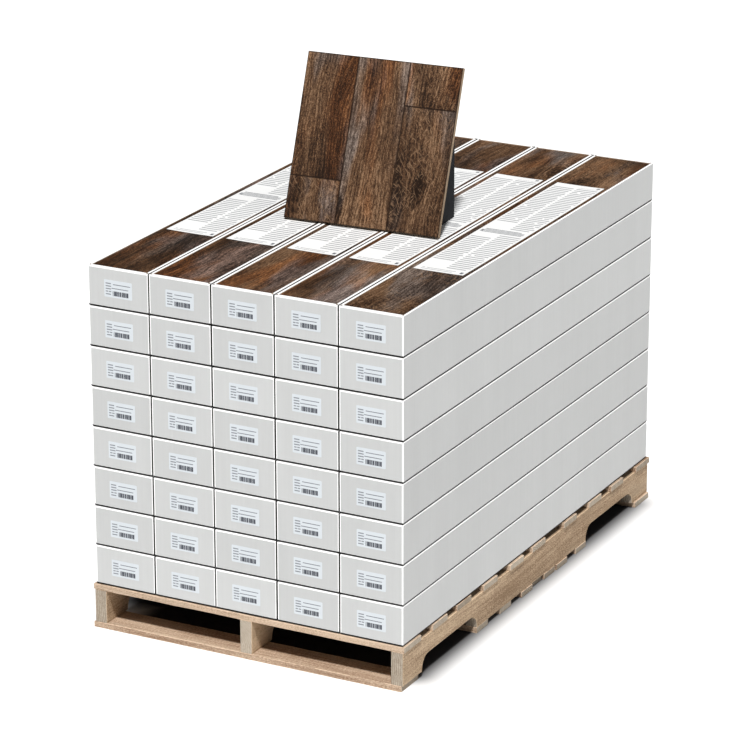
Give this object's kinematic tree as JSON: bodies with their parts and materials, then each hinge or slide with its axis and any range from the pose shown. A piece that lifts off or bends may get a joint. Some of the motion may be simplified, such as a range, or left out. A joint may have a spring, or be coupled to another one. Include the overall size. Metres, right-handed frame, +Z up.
{
  "type": "pallet load of laminate flooring cartons",
  "caption": "Stringer pallet loaded with window-topped cartons of dark oak laminate planks, with printed insert sheets, end labels and a flooring sample leaning on an easel.",
  "frame": {"origin": "on the floor under the middle of the pallet", "axes": "+Z up, +Y along the planks from the labelled front end to the back, +X across the pallet to the right as seen from the front"},
  "size_m": [0.838, 1.397, 1.296],
  "materials": {
    "pallet_stringer_wood": "sawn softwood, matte",
    "pallet_board_wood": "rough sawn softwood, matte",
    "carton_board": "white-faced board, matte",
    "plank_core": "fibreboard, matte",
    "laminate_face": "dark oak laminate, embossed satin",
    "printed_paper": "printed paper, matte",
    "label_paper": "printed sticker, satin",
    "black_plastic": "folded sheet, matte"
  },
  "bodies": {
    "root": {"stringer_left": "pallet_stringer_wood", "stringer_middle": "pallet_stringer_wood", "stringer_right": "pallet_stringer_wood", "top_deckboard_01": "pallet_board_wood", "top_deckboard_02": "pallet_board_wood", "top_deckboard_03": "pallet_board_wood", "top_deckboard_04": "pallet_board_wood", "top_deckboard_05": "pallet_board_wood", "top_deckboard_06": "pallet_board_wood", "top_deckboard_07": "pallet_board_wood", "top_deckboard_08": "pallet_board_wood", "top_deckboard_09": "pallet_board_wood", "top_deckboard_10": "pallet_board_wood", "bottom_deckboard_01": "pallet_board_wood", "bottom_deckboard_02": "pallet_board_wood", "bottom_deckboard_03": "pallet_board_wood", "bottom_deckboard_04": "pallet_board_wood", "bottom_deckboard_05": "pallet_board_wood", "bottom_deckboard_06": "pallet_board_wood", "bottom_deckboard_07": "pallet_board_wood", "bottom_deckboard_08": "pallet_board_wood", "bottom_deckboard_09": "pallet_board_wood", "cartons_layer_1": "carton_board", "cartons_layer_2": "carton_board", "cartons_layer_3": "carton_board", "cartons_layer_4": "carton_board", "cartons_layer_5": "carton_board", "cartons_layer_6": "carton_board", "cartons_layer_7": "carton_board", "cartons_layer_8": "carton_board", "plank_packs_layer_1": "plank_core", "plank_packs_layer_2": "plank_core", "plank_packs_layer_3": "plank_core", "plank_packs_layer_4": "plank_core", "plank_packs_layer_5": "plank_core", "plank_packs_layer_6": "plank_core", "plank_packs_layer_7": "plank_core", "plank_packs_layer_8": "plank_core", "top_planks": "laminate_face", "insert_sheets": "printed_paper", "end_labels": "label_paper", "sample_left_lower": "laminate_face", "sample_left_upper": "laminate_face", "sample_middle": "laminate_face", "sample_right_lower": "laminate_face", "sample_right_upper": "laminate_face", "sample_easel": "black_plastic"}
  },
  "joints": []
}
